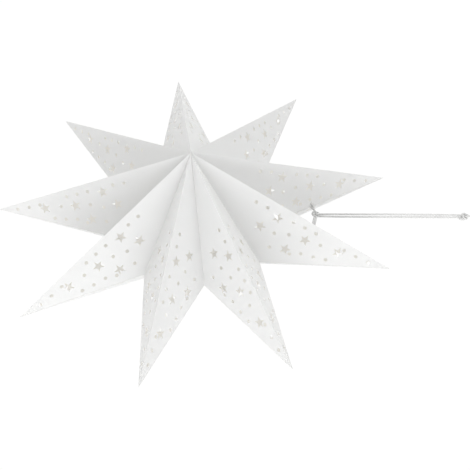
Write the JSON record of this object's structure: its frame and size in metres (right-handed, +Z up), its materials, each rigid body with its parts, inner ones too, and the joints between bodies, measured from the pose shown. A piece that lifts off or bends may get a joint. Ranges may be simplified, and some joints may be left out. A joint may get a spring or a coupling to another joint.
{
  "type": "paper star lantern",
  "caption": "Folding paper star lantern with punched stars and dots, creased from stiff sheets, tied closed and hung by a doubled cord.",
  "frame": {"origin": "top end of the cord, where the lantern hangs", "axes": "+Z up along the cord, the star's front faces -Y, +X to its right as the front is seen"},
  "size_m": [0.5868, 0.2494, 0.7118],
  "materials": {
    "paper": "matt white card",
    "cord": "soft white cotton cord"
  },
  "bodies": {
    "cord": {"cord_strand_left": "cord", "cord_strand_right": "cord", "top_knot": "cord", "cord_end": "cord", "top_knot_tail": "cord"},
    "tie": {"tie_knot": "cord"},
    "point_1_front_left": {"point_1_front_left": "paper", "tie_loop_right": "cord", "tie_strand_left": "cord", "tie_strand_right_upper": "cord", "tie_strand_right_lower": "cord"},
    "point_1_back_left": {"point_1_back_left": "paper"},
    "point_1_front_right": {"point_1_front_right": "paper"},
    "point_1_back_right": {"point_1_back_right": "paper"},
    "point_2_front_left": {"point_2_front_left": "paper"},
    "point_2_back_left": {"point_2_back_left": "paper"},
    "point_2_front_right": {"point_2_front_right": "paper"},
    "point_2_back_right": {"point_2_back_right": "paper"},
    "point_3_front_left": {"point_3_front_left": "paper"},
    "point_3_back_left": {"point_3_back_left": "paper"},
    "point_3_front_right": {"point_3_front_right": "paper"},
    "point_3_back_right": {"point_3_back_right": "paper"},
    "point_4_front_left": {"point_4_front_left": "paper"},
    "point_4_back_left": {"point_4_back_left": "paper"},
    "point_4_front_right": {"point_4_front_right": "paper"},
    "point_4_back_right": {"point_4_back_right": "paper"},
    "point_5_front_left": {"point_5_front_left": "paper"},
    "point_5_back_left": {"point_5_back_left": "paper"},
    "point_5_front_right": {"point_5_front_right": "paper"},
    "point_5_back_right": {"point_5_back_right": "paper"},
    "point_6_front_left": {"point_6_front_left": "paper"},
    "point_6_back_left": {"point_6_back_left": "paper"},
    "point_6_front_right": {"point_6_front_right": "paper"},
    "point_6_back_right": {"point_6_back_right": "paper"},
    "point_7_front_left": {"point_7_front_left": "paper"},
    "point_7_back_left": {"point_7_back_left": "paper"},
    "point_7_front_right": {"point_7_front_right": "paper"},
    "point_7_back_right": {"point_7_back_right": "paper"},
    "point_8_front_left": {"point_8_front_left": "paper"},
    "point_8_back_left": {"point_8_back_left": "paper"},
    "point_8_front_right": {"point_8_front_right": "paper"},
    "point_8_back_right": {"point_8_back_right": "paper"},
    "point_9_front_left": {"point_9_front_left": "paper"},
    "point_9_back_left": {"point_9_back_left": "paper"},
    "point_9_front_right": {"point_9_front_right": "paper", "tie_loop_left": "cord"},
    "point_9_back_right": {"point_9_back_right": "paper"}
  },
  "joints": [
    {"name": "cord_twist", "type": "hinge", "parent": "cord", "child": "tie", "pos_m": [0.0042, 0.0004, -0.233], "axis": [0, 0, 1], "range_deg": [-90, 90], "stiffness_Nm_per_rad": 0.01},
    {"name": "star_swing", "type": "hinge", "parent": "tie", "child": "point_1_front_left", "pos_m": [0.0042, 0.0004, -0.233], "axis": [1, 0, 0], "range_deg": [-40, 40]},
    {"name": "rim_1_left", "type": "hinge", "parent": "point_1_front_left", "child": "point_1_back_left", "pos_m": [0.009, 0.007, -0.284], "axis": [0.488, 0, 0.8729], "range_deg": [0, 50.94]},
    {"name": "fold", "type": "hinge", "parent": "point_1_front_left", "child": "point_1_front_right", "pos_m": [0.00897, -0.12965, -0.41416], "axis": [0.266, 0.4154, 0.8699], "range_deg": [0, 56.14]},
    {"name": "rim_1_right", "type": "hinge", "parent": "point_1_front_right", "child": "point_1_back_right", "pos_m": [0.09256, 0.007, -0.31441], "axis": [-0.0221, 0, -0.9998], "range_deg": [0, 63.21]},
    {"name": "valley_1_2", "type": "hinge", "parent": "point_1_front_right", "child": "point_2_front_left", "pos_m": [0.00912, -0.13019, -0.41384], "axis": [-0.4425, -0.7254, -0.5273], "range_deg": [0, 87.52]},
    {"name": "rim_2_left", "type": "hinge", "parent": "point_2_front_left", "child": "point_2_back_left", "pos_m": [0.09256, 0.007, -0.31441], "axis": [0.9614, 0, 0.275], "range_deg": [0, 57.52]},
    {"name": "ridge_2", "type": "hinge", "parent": "point_2_front_left", "child": "point_2_front_right", "pos_m": [0.00886, -0.12965, -0.41408], "axis": [0.7878, 0.4154, 0.4548], "range_deg": [0, 56.69]},
    {"name": "rim_2_right", "type": "hinge", "parent": "point_2_front_right", "child": "point_2_back_right", "pos_m": [0.13703, 0.007, -0.39143], "axis": [-0.7189, 0, -0.6951], "range_deg": [0, 57.52]},
    {"name": "valley_2_3", "type": "hinge", "parent": "point_2_front_right", "child": "point_3_front_left", "pos_m": [0.00921, -0.1302, -0.41396], "axis": [-0.6779, -0.7254, -0.1195], "range_deg": [0, 82.6]},
    {"name": "rim_3_left", "type": "hinge", "parent": "point_3_front_left", "child": "point_3_back_left", "pos_m": [0.13703, 0.007, -0.39143], "axis": [0.9133, 0, -0.4073], "range_deg": [0, 57.52]},
    {"name": "ridge_3", "type": "hinge", "parent": "point_3_front_left", "child": "point_3_front_right", "pos_m": [0.00884, -0.12965, -0.41397], "axis": [0.8958, 0.4154, -0.158], "range_deg": [0, 56.69]},
    {"name": "rim_3_right", "type": "hinge", "parent": "point_3_front_right", "child": "point_3_back_right", "pos_m": [0.12158, 0.007, -0.479], "axis": [-0.9975, 0, -0.0704], "range_deg": [0, 57.52]},
    {"name": "valley_3_4", "type": "hinge", "parent": "point_3_front_right", "child": "point_4_front_left", "pos_m": [0.00918, -0.1302, -0.41411], "axis": [-0.5961, -0.7254, 0.3442], "range_deg": [0, 82.6]},
    {"name": "rim_4_left", "type": "hinge", "parent": "point_4_front_left", "child": "point_4_back_left", "pos_m": [0.12158, 0.007, -0.479], "axis": [0.4378, 0, -0.8991], "range_deg": [0, 57.52]},
    {"name": "ridge_4", "type": "hinge", "parent": "point_4_front_left", "child": "point_4_front_right", "pos_m": [0.0089, -0.12965, -0.41388], "axis": [0.5847, 0.4154, -0.6968], "range_deg": [0, 56.69]},
    {"name": "rim_4_right", "type": "hinge", "parent": "point_4_front_right", "child": "point_4_back_right", "pos_m": [0.05346, 0.007, -0.53616], "axis": [-0.8094, 0, 0.5873], "range_deg": [0, 57.52]},
    {"name": "valley_4_5", "type": "hinge", "parent": "point_4_front_right", "child": "point_5_front_left", "pos_m": [0.00907, -0.1302, -0.4142], "axis": [-0.2354, -0.7254, 0.6468], "range_deg": [0, 82.6]},
    {"name": "rim_5_left", "type": "hinge", "parent": "point_5_front_left", "child": "point_5_back_left", "pos_m": [0.05346, 0.007, -0.53616], "axis": [-0.2425, 0, -0.9701], "range_deg": [0, 57.52]},
    {"name": "ridge_5", "type": "hinge", "parent": "point_5_front_left", "child": "point_5_front_right", "pos_m": [0.009, -0.12965, -0.41384], "axis": [0, 0.4154, -0.9096], "range_deg": [0, 56.69]},
    {"name": "rim_5_right", "type": "hinge", "parent": "point_5_front_right", "child": "point_5_back_right", "pos_m": [-0.03546, 0.007, -0.53616], "axis": [-0.2425, 0, 0.9701], "range_deg": [0, 57.52]},
    {"name": "valley_5_6", "type": "hinge", "parent": "point_5_front_right", "child": "point_6_front_left", "pos_m": [0.00893, -0.1302, -0.4142], "axis": [0.2354, -0.7254, 0.6468], "range_deg": [0, 82.6]},
    {"name": "rim_6_left", "type": "hinge", "parent": "point_6_front_left", "child": "point_6_back_left", "pos_m": [-0.03546, 0.007, -0.53616], "axis": [-0.8094, 0, -0.5873], "range_deg": [0, 57.52]},
    {"name": "ridge_6", "type": "hinge", "parent": "point_6_front_left", "child": "point_6_front_right", "pos_m": [0.0091, -0.12965, -0.41388], "axis": [-0.5847, 0.4154, -0.6968], "range_deg": [0, 56.69]},
    {"name": "rim_6_right", "type": "hinge", "parent": "point_6_front_right", "child": "point_6_back_right", "pos_m": [-0.10358, 0.007, -0.479], "axis": [0.4378, 0, 0.8991], "range_deg": [0, 57.52]},
    {"name": "valley_6_7", "type": "hinge", "parent": "point_6_front_right", "child": "point_7_front_left", "pos_m": [0.00882, -0.1302, -0.41411], "axis": [0.5961, -0.7254, 0.3442], "range_deg": [0, 82.6]},
    {"name": "rim_7_left", "type": "hinge", "parent": "point_7_front_left", "child": "point_7_back_left", "pos_m": [-0.10358, 0.007, -0.479], "axis": [-0.9975, 0, 0.0704], "range_deg": [0, 57.52]},
    {"name": "ridge_7", "type": "hinge", "parent": "point_7_front_left", "child": "point_7_front_right", "pos_m": [0.00916, -0.12965, -0.41397], "axis": [-0.8958, 0.4154, -0.158], "range_deg": [0, 56.69]},
    {"name": "rim_7_right", "type": "hinge", "parent": "point_7_front_right", "child": "point_7_back_right", "pos_m": [-0.11903, 0.007, -0.39143], "axis": [0.9133, 0, 0.4073], "range_deg": [0, 57.52]},
    {"name": "valley_7_8", "type": "hinge", "parent": "point_7_front_right", "child": "point_8_front_left", "pos_m": [0.00879, -0.1302, -0.41396], "axis": [0.6779, -0.7254, -0.1195], "range_deg": [0, 82.6]},
    {"name": "rim_8_left", "type": "hinge", "parent": "point_8_front_left", "child": "point_8_back_left", "pos_m": [-0.11903, 0.007, -0.39143], "axis": [-0.7189, 0, 0.6951], "range_deg": [0, 57.52]},
    {"name": "ridge_8", "type": "hinge", "parent": "point_8_front_left", "child": "point_8_front_right", "pos_m": [0.00914, -0.12965, -0.41408], "axis": [-0.7878, 0.4154, 0.4548], "range_deg": [0, 56.69]},
    {"name": "rim_8_right", "type": "hinge", "parent": "point_8_front_right", "child": "point_8_back_right", "pos_m": [-0.07456, 0.007, -0.31441], "axis": [0.9614, 0, -0.275], "range_deg": [0, 57.52]},
    {"name": "valley_8_9", "type": "hinge", "parent": "point_8_front_right", "child": "point_9_front_left", "pos_m": [0.00888, -0.13019, -0.41384], "axis": [0.4425, -0.7254, -0.5273], "range_deg": [0, 87.52]},
    {"name": "rim_9_left", "type": "hinge", "parent": "point_9_front_left", "child": "point_9_back_left", "pos_m": [-0.07456, 0.007, -0.31441], "axis": [-0.0221, 0, 0.9998], "range_deg": [0, 63.21]},
    {"name": "ridge_9", "type": "hinge", "parent": "point_9_front_left", "child": "point_9_front_right", "pos_m": [0.00903, -0.12965, -0.41416], "axis": [-0.266, 0.4154, 0.8699], "range_deg": [0, 56.26]},
    {"name": "rim_9_right", "type": "hinge", "parent": "point_9_front_right", "child": "point_9_back_right", "pos_m": [0.009, 0.007, -0.284], "axis": [0.488, 0, -0.8729], "range_deg": [0, 50.94]}
  ],
  "couplings": [
    {"joint": "rim_1_left", "follows": "fold", "ratio": 0.90555},
    {"joint": "rim_1_right", "follows": "fold", "ratio": 1.1236},
    {"joint": "valley_1_2", "follows": "fold", "ratio": 1.5558},
    {"joint": "rim_2_left", "follows": "fold", "ratio": 1.0225},
    {"joint": "ridge_2", "follows": "fold", "ratio": 1.0077},
    {"joint": "rim_2_right", "follows": "fold", "ratio": 1.0225},
    {"joint": "valley_2_3", "follows": "fold", "ratio": 1.4683},
    {"joint": "rim_3_left", "follows": "fold", "ratio": 1.0225},
    {"joint": "ridge_3", "follows": "fold", "ratio": 1.0077},
    {"joint": "rim_3_right", "follows": "fold", "ratio": 1.0225},
    {"joint": "valley_3_4", "follows": "fold", "ratio": 1.4683},
    {"joint": "rim_4_left", "follows": "fold", "ratio": 1.0225},
    {"joint": "ridge_4", "follows": "fold", "ratio": 1.0077},
    {"joint": "rim_4_right", "follows": "fold", "ratio": 1.0225},
    {"joint": "valley_4_5", "follows": "fold", "ratio": 1.4683},
    {"joint": "rim_5_left", "follows": "fold", "ratio": 1.0225},
    {"joint": "ridge_5", "follows": "fold", "ratio": 1.0077},
    {"joint": "rim_5_right", "follows": "fold", "ratio": 1.0225},
    {"joint": "valley_5_6", "follows": "fold", "ratio": 1.4683},
    {"joint": "rim_6_left", "follows": "fold", "ratio": 1.0225},
    {"joint": "ridge_6", "follows": "fold", "ratio": 1.0077},
    {"joint": "rim_6_right", "follows": "fold", "ratio": 1.0225},
    {"joint": "valley_6_7", "follows": "fold", "ratio": 1.4683},
    {"joint": "rim_7_left", "follows": "fold", "ratio": 1.0225},
    {"joint": "ridge_7", "follows": "fold", "ratio": 1.0077},
    {"joint": "rim_7_right", "follows": "fold", "ratio": 1.0225},
    {"joint": "valley_7_8", "follows": "fold", "ratio": 1.4683},
    {"joint": "rim_8_left", "follows": "fold", "ratio": 1.0225},
    {"joint": "ridge_8", "follows": "fold", "ratio": 1.0077},
    {"joint": "rim_8_right", "follows": "fold", "ratio": 1.0225},
    {"joint": "valley_8_9", "follows": "fold", "ratio": 1.5558},
    {"joint": "rim_9_left", "follows": "fold", "ratio": 1.1236},
    {"joint": "ridge_9", "follows": "fold", "ratio": 1},
    {"joint": "rim_9_right", "follows": "fold", "ratio": 0.90555}
  ]
}
